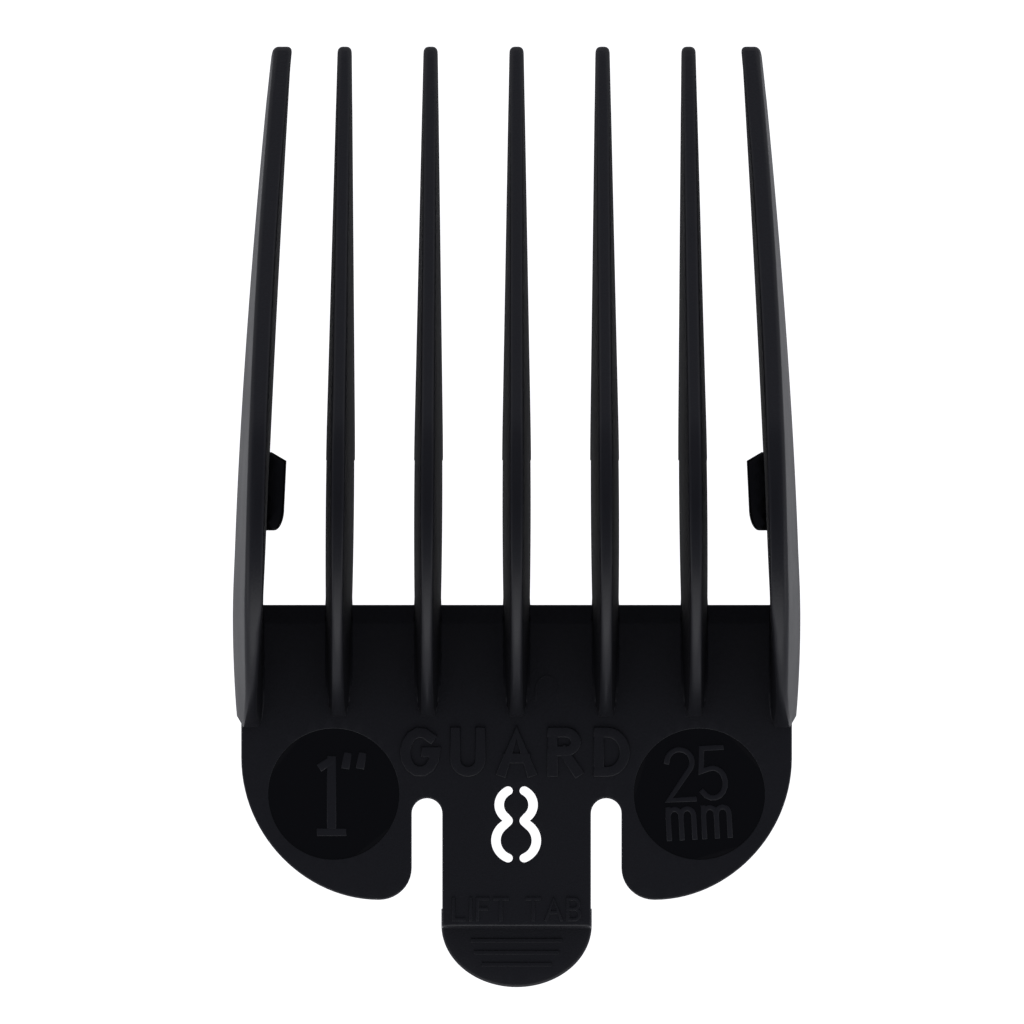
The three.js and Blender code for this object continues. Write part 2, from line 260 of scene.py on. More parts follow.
def inside(points, loops):
    """Which points lie in the region that the loops bound, holes left out."""
    flags = np.zeros(len(points), bool)
    for loop in loops:
        for (x0, y0), (x1, y1) in zip(loop, np.roll(loop, -1, axis=0)):
            crosses = (y0 > points[:, 1]) != (y1 > points[:, 1])
            if crosses.any():
                x = x0 + (points[:, 1] - y0) * (x1 - x0) / (y1 - y0)
                flags ^= crosses & (points[:, 0] < x)
    return flags


def grid(low, high, spacing):
    """Points of a triangular grid over a box."""
    points = []
    for row, v in enumerate(np.arange(low[1], high[1], spacing * GRID_ROW)):
        start = low[0] + (row % 2) * spacing / 2
        points += [(u, v) for u in np.arange(start, high[0], spacing)]
    return points


def clear_of(points, loops, distance):
    """Those of the points that are inside the loops and at least a distance from them."""
    if len(points) == 0:
        return []
    points = np.array(points, float)
    points = points[inside(points, loops)]
    edge = np.concatenate([np.array(loop) for loop in loops])
    gaps = np.linalg.norm(points[:, None] - edge[None], axis=2).min(axis=1)
    return [tuple(p) for p in points[gaps > distance]]


def bent(point):
    """The point moved a little, so that straight edges bow and no triangle lies flat along one."""
    u, v = point
    return Vector((u + BOW * v * v, v + BOW * u * u))


def fill(loops, extra):
    """Anticlockwise triangles over the region; indices run through the loops and then extra."""
    loops = [[bent(p) for p in loop] for loop in loops]
    points = [p for loop in loops for p in loop] + [bent(p) for p in extra]
    edges = []
    start = 0
    for loop in loops:
        count = len(loop)
        edges += [(start + i, start + (i + 1) % count) for i in range(count)]
        start += count
    result = delaunay_2d_cdt(points, edges, [], 0, 1e-6)
    spots = np.array([tuple(v) for v in result[0]])
    source = [ids[0] for ids in result[3]]
    triangles = [list(face) for face in result[2]]
    centres = np.array([spots[t].mean(axis=0) for t in triangles])
    faces = []
    for triangle, keep in zip(triangles, inside(centres, loops)):
        if keep:
            a, b, c = spots[triangle]
            turn = (b[0] - a[0]) * (c[1] - a[1]) - (b[1] - a[1]) * (c[0] - a[0])
            order = triangle if turn > 0 else triangle[::-1]
            faces.append([source[i] for i in order])
    return faces


# ---- Solids ----

def flat(u, v, w):
    """A plan view lies in X and Y."""
    return (u, v, w)


def upright(u, v, w):
    """A side view stands in Y and Z, with its thickness along X."""
    return (w, u, v)


def moulded(loops, low, high, corners, place=flat, extra=(), clearance=0.45):
    """A closed solid between the surfaces low(u, v) and high(u, v), over the region that the loops
    bound, with rounded edges: corners(u, v) gives their radii at the low and the high surface.
    Returns vertices, faces and how much each vertex is an edge."""
    moves = np.concatenate([inward(loop) for loop in loops])
    rim = np.array([p for loop in loops for p in loop], float)
    radii = np.array([corners(u, v) for u, v in rim])
    turns = np.radians(np.linspace(0, 90, CORNER_STEPS + 1))
    rings = [(0, turn) for turn in turns] + [(1, turn) for turn in reversed(turns)]
    vertices, worn, caps = [], [], []
    for side, turn in rings:
        radius = radii[:, side]
        spots = rim + moves * (radius * (1 - math.sin(turn)))[:, None]
        for (u, v), r in zip(spots, radius):
            rise = r * (1 - math.cos(turn))
            w = high(u, v) - rise if side else low(u, v) + rise
            vertices.append(place(u, v, w))
            worn.append(math.sin(turn))
        if turn == 0:
            caps.append(spots)
    count = len(rim)
    faces = []
    for ring in range(len(rings) - 1):
        start = 0
        for loop in loops:
            for i in range(len(loop)):
                a = ring * count + start + i
                b = ring * count + start + (i + 1) % len(loop)
                faces.append((a, b, b + count, a + count))
            start += len(loop)
    sizes = np.cumsum([0] + [len(loop) for loop in loops])
    for side, spots in enumerate(caps):
        rims = [spots[a:b] for a, b in zip(sizes, sizes[1:])]
        inner = clear_of(extra, rims, clearance)
        first_ring = (len(rings) - 1) * count if side else 0
        first_inner = len(vertices)
        for u, v in inner:
            vertices.append(place(u, v, high(u, v) if side else low(u, v)))
            worn.append(0)
        for face in fill(rims, inner):
            ids = [first_ring + i if i < count else first_inner + i - count for i in face]
            faces.append(tuple(ids if side else reversed(ids)))
    return vertices, faces, worn


def joined(solids):
    """Several solids as one."""
    vertices, faces, worn = [], [], []
    for some_vertices, some_faces, some_worn in solids:
        offset = len(vertices)
        vertices += some_vertices
        faces += [tuple(i + offset for i in face) for face in some_faces]
        worn += some_worn
    return vertices, faces, worn


def slab(loops, low, high, radius, **options):
    return moulded(loops, lambda u, v: low, lambda u, v: high, lambda u, v: (radius, radius), **options)


def build(name, solid, material):
    """A Blender object from a solid, in metres and in the frame's place."""
    vertices, faces, worn = solid
    mesh = bpy.data.meshes.new(name)
    mesh.from_pydata([Vector(v) * MM + DATUM for v in vertices], [], faces)
    wear = mesh.attributes.new("edge_wear", "FLOAT", "POINT")
    wear.data.foreach_set("value", np.array(worn, np.float32))
    mesh.materials.append(material)
    obj = bpy.data.objects.new(name, mesh)
    bpy.context.scene.collection.objects.link(obj)
    return obj


def smooth(obj, sharpest=50):
    """Smooth shading in which the large faces set the normals."""
    obj.data.shade_smooth()
    obj.data.set_sharp_from_angle(angle=math.radians(sharpest))
    modifier = obj.modifiers.new("weighted_normals", "WEIGHTED_NORMAL")
    modifier.keep_sharp = True
    modifier.weight = 80
    return obj


def dull_and_shade_flanks(obj, sides):
    """Marks how far each spot of a flank that faces towards -X or +X (sides -1 and 1) is rougher, less
    glossy and painted darker; the darker colour is painted shade for the shadow between the teeth.
    """
    values = []
    for vertex in obj.data.vertices:
        facing = max(vertex.normal.x * side for side in sides)
        values.append(np.interp(facing, FLANK_FACING, (0, 1)))
    obj.data.attributes.new("dull_and_shaded", "FLOAT", "POINT").data.foreach_set("value", values)
    return obj


def attach(obj, body, nodes=()):
    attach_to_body(obj, body)
    if nodes:
        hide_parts(*nodes)
    return obj


def cut_box(obj, low, high):
    """Cuts a box, given in millimetres from the datum, out of an object's mesh."""
    corners = [(x, y, z) for x in (low[0], high[0]) for y in (low[1], high[1]) for z in (low[2], high[2])]
    sides = [(0, 1, 3, 2), (4, 6, 7, 5), (0, 4, 5, 1), (2, 3, 7, 6), (0, 2, 6, 4), (1, 5, 7, 3)]
    cutter = build("cutter", (corners, sides, [0] * 8), obj.data.materials[0])
    modifier = obj.modifiers.new("cut", "BOOLEAN")
    modifier.operation = "DIFFERENCE"
    modifier.solver = "EXACT"
    modifier.object = cutter
    bpy.context.view_layer.update()
    evaluated = obj.evaluated_get(bpy.context.evaluated_depsgraph_get())
    mesh = bpy.data.meshes.new_from_object(evaluated)
    obj.modifiers.clear()
    obj.data = mesh
    bpy.data.objects.remove(cutter)


# ---- Materials ----

DULL_ROUGHNESS = 0.75
DULL_SPECULAR = 0.11
# Painted shade: how much darker the base colour of the marked flanks is, standing in for the shadow
# between the teeth.
PAINTED_FLANK_SHADE = -0.6


def nylon(name, roughness, grain, colour, wear=0.5):
    """Black moulded nylon: a fine spark-eroded grain, soft blotches in the gloss, polished edges,
    and, on the marked flanks, rougher, less glossy and painted darker: painted shade for the shadow
    between the teeth."""
    material = bpy.data.materials.new(name)
    material.use_nodes = True
    nodes, links = material.node_tree.nodes, material.node_tree.links
    shader = nodes["Principled BSDF"]
    shader.inputs["IOR"].default_value = 1.53
    place = nodes.new("ShaderNodeTexCoord")

    def noise(scale_per_mm, detail):
        node = nodes.new("ShaderNodeTexNoise")
        node.inputs["Scale"].default_value = scale_per_mm / MM
        node.inputs["Detail"].default_value = detail
        links.new(place.outputs["Object"], node.inputs["Vector"])
        return node.outputs["Fac"]

    def spread(value, low, high):
        node = nodes.new("ShaderNodeMapRange")
        node.inputs["To Min"].default_value = low
        node.inputs["To Max"].default_value = high
        links.new(value, node.inputs["Value"])
        return node.outputs["Result"]

    blotches = noise(0.12, 3)
    fine = noise(6, 2)

    def attribute(name):
        node = nodes.new("ShaderNodeAttribute")
        node.attribute_name = name
        return node.outputs["Fac"]

    def scaled_sum(value, scale, base):
        node = nodes.new("ShaderNodeMath")
        node.operation = "MULTIPLY_ADD"
        links.new(value, node.inputs[0])
        node.inputs[1].default_value = scale
        links.new(base, node.inputs[2])
        return node.outputs[0]

    # The flanks' mask: rougher and less glossy, and a painted shade in the base colour.
    dull_and_shaded = attribute("dull_and_shaded")
    even = spread(blotches, roughness * 0.85, roughness * 1.15)
    polished = scaled_sum(attribute("edge_wear"), -wear * roughness * 0.4, even)
    links.new(scaled_sum(dull_and_shaded, DULL_ROUGHNESS - roughness, polished), shader.inputs["Roughness"])
    links.new(spread(dull_and_shaded, 0.5, DULL_SPECULAR), shader.inputs["Specular IOR Level"])

    tint = nodes.new("ShaderNodeMix")
    tint.data_type = "RGBA"
    tint.inputs["A"].default_value = (*[c * 0.8 for c in colour], 1)
    tint.inputs["B"].default_value = (*[c * 1.25 for c in colour], 1)
    # Painted shade: the marked flanks get a darker base colour.
    links.new(scaled_sum(dull_and_shaded, PAINTED_FLANK_SHADE, fine), tint.inputs["Factor"])
    links.new(tint.outputs["Result"], shader.inputs["Base Color"])

    bump = nodes.new("ShaderNodeBump")
    bump.inputs["Strength"].default_value = grain
    bump.inputs["Distance"].default_value = 0.02 * MM
    links.new(fine, bump.inputs["Height"])
    links.new(bump.outputs["Normal"], shader.inputs["Normal"])
    return material


SATIN = nylon("satin_nylon", 0.43, 0.9, (0.016, 0.0165, 0.0205))
POLISHED = nylon("polished_nylon", 0.12, 0.15, (0.003, 0.003, 0.004))
MARKS = nylon("raised_marks", 0.42, 0.5, (0.017, 0.0175, 0.022))


# ---- Plate and tongue ----

def eight_stroke():
    """The right half of the figure eight: two loops whose ends and waist stop at the bridge."""
    half = EIGHT_STROKE / 2
    gap = (EIGHT_UPPER_Y - EIGHT_LOWER_Y) / EIGHT_SQUEEZE
    upper, lower = EIGHT_UPPER_RADIUS, EIGHT_LOWER_RADIUS
    end_x = EIGHT_BRIDGE / 2 + half
    upper_end = math.degrees(math.acos(end_x / (upper - half)))
    lower_end = -math.degrees(math.acos(end_x / (lower - half)))
    drop = (upper ** 2 - lower ** 2 + gap ** 2) / (2 * gap)
    notch_x = math.sqrt(upper ** 2 - drop ** 2)
    notch_upper = math.degrees(math.atan2(-drop, notch_x))
    notch_lower = math.degrees(math.atan2(gap - drop, notch_x))
    knob = (EIGHT_BRIDGE / 2 + EIGHT_KNOB_RADIUS, -drop)
    upper_tip = arc((0, 0), (upper - half,) * 2, upper_end, upper_end, 1)[0]
    lower_tip = arc((0, -gap), (lower - half,) * 2, lower_end, lower_end, 1)[0]
    points = arc((0, -gap), (lower, lower), lower_end, notch_lower, 24)
    points += arc((0, 0), (upper, upper), notch_upper, upper_end, 22)
    points += arc(upper_tip, (half, half), upper_end, upper_end + 180, 10)
    points += arc((0, 0), (upper - 2 * half,) * 2, upper_end, -54, 16)
    points += arc(knob, (EIGHT_KNOB_RADIUS,) * 2, 127, 224, 8)
    points += arc((0, -gap), (lower - 2 * half,) * 2, 48, lower_end, 18)
    points += arc(lower_tip, (half, half), lower_end + 180, lower_end + 360, 10)
    return [(x, EIGHT_UPPER_Y + y * EIGHT_SQUEEZE) for x, y in without_repeats(points)]


def plate_outline():
    """The right half from the tongue's end to the front edge, and its mirror image."""
    corner = (WING_LOW_POINT_X - WING_INNER_X, WING_CORNER_HEIGHT)
    corner_y = WING_END_Y + WING_CORNER_HEIGHT
    slot_y = SLOT_TOP_Y - SLOT_RADIUS
    pull_x, pull_y = WING_CURVE_PULL
    right = line((0, TONGUE_END_Y), (TONGUE_HALF_WIDTH, TONGUE_END_Y))
    right += line((TONGUE_HALF_WIDTH, TONGUE_END_Y), (TONGUE_HALF_WIDTH, slot_y), 0.6)
    right += arc((SLOT_CENTRE_X, slot_y), (SLOT_RADIUS, SLOT_RADIUS), 180, 0, 16)
    right += line((WING_INNER_X, slot_y), (WING_INNER_X, corner_y))
    right += arc((WING_LOW_POINT_X, corner_y), corner, 180, 270, 10)
    right += bezier(
        (WING_LOW_POINT_X, WING_END_Y), (WING_LOW_POINT_X + pull_x, WING_END_Y),
        (PLATE_HALF_WIDTH, WING_CURVE_START_Y - pull_y), (PLATE_HALF_WIDTH, WING_CURVE_START_Y), 28,
    )
    right += line((PLATE_HALF_WIDTH, WING_CURVE_START_Y), (PLATE_HALF_WIDTH, 0), 1.4)
    right += line((PLATE_HALF_WIDTH, 0), (0, 0), 1.4)
    return without_repeats(right + [(-x, y) for x, y in reversed(right)])


def circle(centre, radius, steps=96):
    return arc(centre, (radius, radius), 0, 360 - 360 / steps, steps - 1)


def plate_top(x, y):
    """The plate thins towards its front edge, where hair runs onto it."""
    along = min(1, max(0, (y + FRONT_BEVEL_DEPTH) / FRONT_BEVEL_DEPTH))
    return PLATE_THICKNESS - FRONT_BEVEL_DROP * along


def plate_and_tongue():
    stroke = eight_stroke()
    holes = [[(x + EIGHT_X, y) for x, y in loop] for loop in (stroke, mirrored(stroke))]
    holes += [circle((side * POCKET_X, POCKET_Y), POCKET_RADIUS) for side in (-1, 1)]
    loops = [plate_outline()] + [hole[::-1] for hole in holes]
    plate_corner = (PLATE_HALF_WIDTH, -FRONT_BEVEL_DEPTH - 0.5)
    extra = grid((-PLATE_HALF_WIDTH, WING_END_Y), plate_corner, PLATE_GRID)
    extra = [p for p in extra if abs(p[0]) > TONGUE_HALF_WIDTH or p[1] > SEAM_Y + 0.3]
    extra += grid((-TONGUE_HALF_WIDTH, TONGUE_END_Y), (TONGUE_HALF_WIDTH, SEAM_Y + 0.1), TONGUE_GRID)
    for row in (-FRONT_BEVEL_DEPTH - 0.04, -FRONT_BEVEL_DEPTH + 0.04):
        extra += [(x, row) for x in np.arange(-PLATE_HALF_WIDTH + 0.5, PLATE_HALF_WIDTH, 0.9)]

    def corners(x, y):
        if math.hypot(abs(x) - POCKET_X, y - POCKET_Y) < POCKET_RADIUS + 0.01:
            return HIDDEN_EDGE_RADIUS, POCKET_EDGE_RADIUS
        if abs(x) < EIGHT_REACH[0] and abs(y - EIGHT_UPPER_Y) < EIGHT_REACH[1]:
            return EIGHT_EDGE_RADIUS, EIGHT_EDGE_RADIUS
        return EDGE_RADIUS, EDGE_RADIUS

    return moulded(loops, lambda u, v: 0, plate_top, corners, extra=extra)


def part_of(obj, name, keep):
    """A copy of obj with only the faces that keep chooses, closed again where it was parted."""
    mesh = obj.data.copy()
    mesh.name = name
    bm = bmesh.new()
    bm.from_mesh(mesh)
    bmesh.ops.delete(bm, geom=[f for f in bm.faces if not keep(f.calc_center_median())], context="FACES")
    bmesh.ops.holes_fill(bm, edges=[e for e in bm.edges if e.is_boundary], sides=0)
    bmesh.ops.recalc_face_normals(bm, faces=bm.faces)
    bm.to_mesh(mesh)
    bm.free()
    copy = bpy.data.objects.new(name, mesh)
    bpy.context.scene.collection.objects.link(copy)
    return copy


def make_plate_and_tongue():
    """One continuous sheet, parted just above the slots into the plate and the tongue."""
    whole = build("whole_plate", plate_and_tongue(), SATIN)
    bm = bmesh.new()
    bm.from_mesh(whole.data)
    cuts = [((0, SEAM_Y, 0), (0, 1, 0))]
    cuts += [((side * SLOT_CENTRE_X, 0, 0), (1, 0, 0)) for side in (1, -1)]
    for point, normal in cuts:
        everything = bm.verts[:] + bm.edges[:] + bm.faces[:]
        place = Vector(point) * MM + DATUM
        bmesh.ops.bisect_plane(bm, geom=everything, plane_co=place, plane_no=normal, dist=1e-7)
    bm.to_mesh(whole.data)
    bm.free()
    seam = SEAM_Y * MM + DATUM.y
    reach = SLOT_CENTRE_X * MM
    plate = part_of(whole, "plate_shell", lambda c: c.y > seam or abs(c.x) > reach)
    tongue = part_of(whole, "flexing_tongue", lambda c: c.y < seam and abs(c.x) < reach)
    bpy.data.objects.remove(whole)
    smooth(plate)
    smooth(tongue)
    attach(plate, "comb", ["base_plate"])
    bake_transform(tongue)
    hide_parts("release_tongue")


def make_pockets():
    """The round floors that carry the size marks, polished on top only."""
    for name, side in (("marking_disc_left", -1), ("marking_disc_right", 1)):
        rim = circle((side * POCKET_X, POCKET_Y), POCKET_RADIUS + POCKET_OVERLAP)
        disc = build(name, slab([rim], 0, POCKET_FLOOR_Z, HIDDEN_EDGE_RADIUS), SATIN)
        disc.data.materials.append(POLISHED)
        for face in disc.data.polygons:
            face.material_index = int(face.normal.z > 0.9)
        attach(smooth(disc, sharpest=20), "comb")


# ---- Step, latch and lip ----

def closed(corners, spacing):
    """The closed outline through the corners, stepped along its straight edges."""
    return [p for a, b in zip(corners, corners[1:] + corners[:1]) for p in line(a, b, spacing)]


def make_step():
    """The wall that drops behind the blade's rear edge, leaning back a little."""
    foot_y, foot_z = TONGUE_END_Y - STEP_WALL_SLANT, REST_Z + STEP_OVERLAP
    head_z = PLATE_THICKNESS - STEP_OVERLAP
    wall = [
        (STEP_HIGH.y, foot_z), (foot_y, foot_z), (foot_y, STEP_LOW.z),
        (TONGUE_END_Y - 0.02, head_z), (STEP_HIGH.y, head_z),
    ]
    half = TONGUE_HALF_WIDTH + STEP_OVERHANG
    step = slab([closed(wall, 0.5)[::-1]], -half, half, STEP_EDGE_RADIUS, place=upright)
    attach(smooth(build("step_wall", step, SATIN)), "tongue", ["rear_step"])


def make_latch():
    """The ledge that catches the blade's rear edge."""
    root_y = STEP_HIGH.y - STEP_OVERLAP
    hook = [
        (root_y, REST_Z), (LATCH_HIGH.y - LATCH_LEAD_IN, REST_Z),
        (LATCH_HIGH.y, REST_Z + LATCH_LEAD_IN), (LATCH_HIGH.y, LATCH_HIGH.z), (root_y, LATCH_HIGH.z),
    ]
    latch = slab([closed(hook, 0.3)], LATCH_LOW.x, LATCH_HIGH.x, LATCH_EDGE_RADIUS, place=upright)
    attach(smooth(build("latch_ledge", latch, SATIN)), "tongue", ["latch_hook"])


def lip_top(y):
    """The lip's upper face falls away a little towards its round end."""
    return LIP_HIGH.z - LIP_SLOPE * max(0, TONGUE_END_Y - y)


def make_lip():
    half = LIP_HIGH.x
    rim = arc((0, TONGUE_END_Y), (half, TONGUE_END_Y - LIP_LOW.y), 180, 360, 60)
    rim += line((half, TONGUE_END_Y), (half, STEP_HIGH.y), 0.5)
    rim += line((half, STEP_HIGH.y), (-half, STEP_HIGH.y), 0.8)
    rim += line((-half, STEP_HIGH.y), (-half, TONGUE_END_Y), 0.5)
    lip = moulded(
        [without_repeats(rim)], lambda x, y: REST_Z, lambda x, y: lip_top(y),
        lambda x, y: (LIP_EDGE_RADIUS, LIP_EDGE_RADIUS),
        extra=grid((-half, LIP_LOW.y), (half, STEP_HIGH.y), 0.9),
    )
    attach(smooth(build("thumb_tab", lip, SATIN)), "tongue", ["thumb_lip"])


# ---- Teeth ----

def ridge_height(y, root_y):
    """Up from the root on a quarter ellipse, over the crest on an arc, straight down to the tip."""
    slope = math.atan(FRONT_SLOPE)
    if y < APEX_Y:
        along = min(1, (APEX_Y - y) / (APEX_Y - root_y))
        return PLATE_THICKNESS + (APEX_Z - PLATE_THICKNESS) * math.sqrt(1 - along ** 2)
    run = min(y - APEX_Y, CREST_RADIUS * math.sin(slope))
    crest = APEX_Z - CREST_RADIUS + math.sqrt(CREST_RADIUS ** 2 - run ** 2)
    return crest - FRONT_SLOPE * (y - APEX_Y - run)


def tooth_outline(root_y, lower_edge):
    """Side view in Y and Z, anticlockwise from the buried back corner of the root."""
    slope = math.degrees(math.atan(FRONT_SLOPE))
    centre = (TIP_Y - TIP_RADIUS, REST_Z + TIP_RADIUS)
    corners = lower_edge + [(centre[0], REST_Z)]
    points = [p for a, b in zip(corners, corners[1:]) for p in line(a, b)]
    points += arc(centre, (TIP_RADIUS, TIP_RADIUS), -90, 90 - slope, 12)
    crest_end = APEX_Y + CREST_RADIUS * math.sin(math.radians(slope))
    points += line(points[-1], (crest_end, ridge_height(crest_end, root_y)))
    points += arc((APEX_Y, APEX_Z - CREST_RADIUS), (CREST_RADIUS, CREST_RADIUS), 90 - slope, 90, 10)
    points += arc(
        (APEX_Y, PLATE_THICKNESS), (APEX_Y - root_y, APEX_Z - PLATE_THICKNESS), 90, 180, 48,
    )
    return without_repeats(points)


def tooth_grid(root_y, outline):
    """Points spread over a flank, clear of its rounded edges."""
    spread = grid((root_y, REST_Z), (TIP_Y, APEX_Z), TOOTH_GRID)
    return clear_of(spread, [outline], TOOTH_GRID_MARGIN)


def fillet_radius(y, root_y):
    """The fillet between a flank and the plate fades at the root's end and at the front edge."""
    along = (root_y, root_y + ROOT_FILLET_FADE, ROOT_FILLET_END_Y, 0)
    return np.interp(y, along, (0, ROOT_FILLET_MOST, ROOT_FILLET, 0))


def root_rows(root_y):
    """Extra points close to the plate, where the flanks flare into it."""
    points = []
    for share in ROOT_FILLET_SHARES:
        for y in np.arange(root_y + 0.8, 0, 0.6):
            points.append((y, plate_top(0, y) + share * fillet_radius(y, root_y)))
    return points


def flare(y, z, root_y):
    """How far a flank flares out where it meets the plate."""
    radius = fillet_radius(y, root_y)
    gap = max(0, z - plate_top(0, y))
    if gap >= radius:
        return 0
    return radius - math.sqrt(radius ** 2 - (radius - gap) ** 2)


def buried_limit(z):
    """The largest edge radius at a height near the plate, where a root's edges are buried."""
    return 0.02 + max(0, z - PLATE_THICKNESS) * 0.3


def corner_radius(y, z, root_y, root_radius=RIDGE_ROOT_RADIUS):
    """Tight on the lower edges, softer along the ridge, and round at the tip."""
    if y < 0:
        radius = np.interp(-y, (0, ROOT_ROUNDING_LENGTH), (RIDGE_RADIUS, root_radius))
        return min(radius, buried_limit(z))
    if y > TIP_START_Y:
        along = (TIP_START_Y, TIP_START_Y + TIP_ROUNDING_LENGTH)
        return np.interp(y, along, (RIDGE_RADIUS, TIP_CORNER_RADIUS))
    return RIDGE_RADIUS if z > ridge_height(y, root_y) - RIDGE_BAND else FOOT_RADIUS


def rib_ridge(y):
    """Half the width of a rib's ridge, which narrows behind the crest."""
    along = min(1, max(0, (APEX_Y - y) / APEX_Y))
    return RIDGE_HALF_WIDTH + (RIDGE_ROOT_HALF_WIDTH - RIDGE_HALF_WIDTH) * along


def make_rib(index):
    offset = (index - 3) * RIB_PITCH
    buried = PLATE_THICKNESS - SINK
    lower_edge = [
        (RIB_ROOT_Y, buried), (-FRONT_OVERLAP, buried), (-FRONT_OVERLAP, 0.02),
        (BLADE_FRONT_Y, 0), (BLADE_FRONT_Y, SHIELD_Z),
    ]
    outline = tooth_outline(RIB_ROOT_Y, lower_edge)

    def half(y, z):
        depth = max(0, ridge_height(y, RIB_ROOT_Y) - z)
        full_depth = max(1, ridge_height(y, RIB_ROOT_Y) - (PLATE_THICKNESS if y < 0 else REST_Z / 2))
        ridge = rib_ridge(y)
        foot = RIDGE_HALF_WIDTH + RIB_DRAFT * full_depth
        return ridge + (foot - ridge) * depth / full_depth + flare(y, z, RIB_ROOT_Y)

    def centre(y):
        return offset * (1 - RIB_CONVERGENCE * max(0, y))

    extra = tooth_grid(RIB_ROOT_Y, outline)
    extra = [p for p in extra if p[0] > 0 or p[1] > PLATE_THICKNESS + 1]
    solid = moulded(
        [outline], lambda y, z: centre(y) - half(y, z), lambda y, z: centre(y) + half(y, z),
        lambda y, z: (corner_radius(y, z, RIB_ROOT_Y),) * 2,
        place=upright, extra=extra + root_rows(RIB_ROOT_Y), clearance=0.2,
    )
    # Both flanks of a rib face a neighbour and get the painted shade.
    rib = dull_and_shade_flanks(build(f"rib_{index}_moulding", solid, SATIN), (-1, 1))
    attach(smooth(rib), "comb", [f"rib_{index}"])


def side_outer_x(y):
    if y < -1:
        swell = SIDE_OUTER_X - SIDE_BULGE * ((-1 - y) / SIDE_BULGE_LENGTH) ** 2
        return swell - SIDE_TUCK * max(0, SIDE_TUCK_Y - y) ** 2
    return SIDE_OUTER_X - SIDE_OUTER_TAPER * (y + 1) ** SIDE_OUTER_POWER


def side_foot_z(y):
    """The wall's lower edge steps down from the plate's underside to the level of the tips."""
    along = (y - SIDE_WALL_START_Y) / (SIDE_WALL_FULL_Y - SIDE_WALL_START_Y)
    return REST_Z * min(1, max(0, along))


def side_ridge(y):
    """X of a side tooth's ridge: it swings out towards its root, and leans in ahead."""
    if y < 0:
        outer = SIDE_RIDGE_X + SIDE_RIDGE_HALF_WIDTH
        inner = outer - 2 * (SIDE_RIDGE_HALF_WIDTH + SIDE_RIDGE_ROOT_TAPER * y)
        return inner, outer + SIDE_RIDGE_ROOT_SPREAD * max(0, SIDE_RIDGE_SPREAD_Y - y) ** 2
    centre = SIDE_RIDGE_X - SIDE_RIDGE_LEAN * y - SIDE_RIDGE_BEND * y ** 3
    return centre - SIDE_RIDGE_HALF_WIDTH, centre + SIDE_RIDGE_HALF_WIDTH


def make_side_tooth(name, side, node):
    lower_edge = [(SIDE_ROOT_Y, 0.04), (SIDE_WALL_START_Y, 0.04), (SIDE_WALL_FULL_Y, REST_Z)]
    outline = tooth_outline(SIDE_ROOT_Y, lower_edge)

    def flanks(y, z):
        ahead = max(0, y)
        height = ridge_height(y, SIDE_ROOT_Y)
        drop = min(1, max(0, (height - z) / (height - side_foot_z(y))))
        foot = SIDE_INNER_X - SIDE_INNER_TAPER * ahead - SIDE_INNER_BEND * ahead ** 2
        inner, outer = side_ridge(y)
        inner += drop * (foot - inner) - flare(y, z, SIDE_ROOT_Y)
        outer += drop * (side_outer_x(y) - outer)
        return (inner, outer) if side > 0 else (-outer, -inner)

    def corners(y, z):
        inner = corner_radius(y, z, SIDE_ROOT_Y, SIDE_ROOT_INNER_RADIUS)
        outer = inner
        if y < 0:
            low, high = side_ridge(y)
            outer = min(np.interp(y, *zip(*SIDE_OUTER_RADII)), buried_limit(z))
            inner = min(inner, high - low - outer - 0.05)
        elif z > ridge_height(y, SIDE_ROOT_Y) - RIDGE_BAND and y < TIP_START_Y:
            outer = np.interp(y, *zip(*SIDE_OUTER_RADII))
        return (inner, outer) if side > 0 else (outer, inner)

    extra = tooth_grid(SIDE_ROOT_Y, outline)
    solid = moulded(
        [outline], lambda y, z: flanks(y, z)[0], lambda y, z: flanks(y, z)[1], corners,
        place=upright, extra=extra + root_rows(SIDE_ROOT_Y), clearance=0.2,
    )
    tooth = build(name, solid, SATIN)
    cut_box(tooth, (-BLADE_HALF_WIDTH, 0, REST_Z - 1), (BLADE_HALF_WIDTH, LUG_HIGH.y, 0))
    # Only the inner flank, which faces the ribs, gets the painted shade; the outer flank keeps the plain
    # colour.
    attach(smooth(dull_and_shade_flanks(tooth, (-side,))), "comb", [node])


def make_lug(name, side, node):
    inner, root_x = LUG_LOW.x, BLADE_HALF_WIDTH + LUG_ROOT_DEPTH
    chamfer_x, chamfer_y = LUG_CHAMFER
    end_x, end_y = LUG_END_RADII
    rear_x, rear_y = inner + LUG_REAR_DRAFT, LUG_LOW.y + end_y
    rim = line((root_x, LUG_LOW.y), (root_x, LUG_HIGH.y))
    rim += [(root_x, LUG_HIGH.y), (inner + chamfer_x, LUG_HIGH.y)]
    rim += line((inner, LUG_HIGH.y - chamfer_y), (rear_x, rear_y))
    rim += arc((rear_x + end_x, rear_y), (end_x, end_y), 180, 270, 10)
    rim = without_repeats(rim)
    if side < 0:
        rim = mirrored(rim)
    box = (-BLADE_HALF_WIDTH, LUG_LOW.y), (BLADE_HALF_WIDTH, LUG_HIGH.y)
    lug = slab([rim], REST_Z, LUG_HIGH.z, LUG_EDGE_RADIUS, extra=grid(*box, 0.8))
    attach(smooth(build(name, lug, POLISHED)), "comb", [node])


# ---- Marks ----

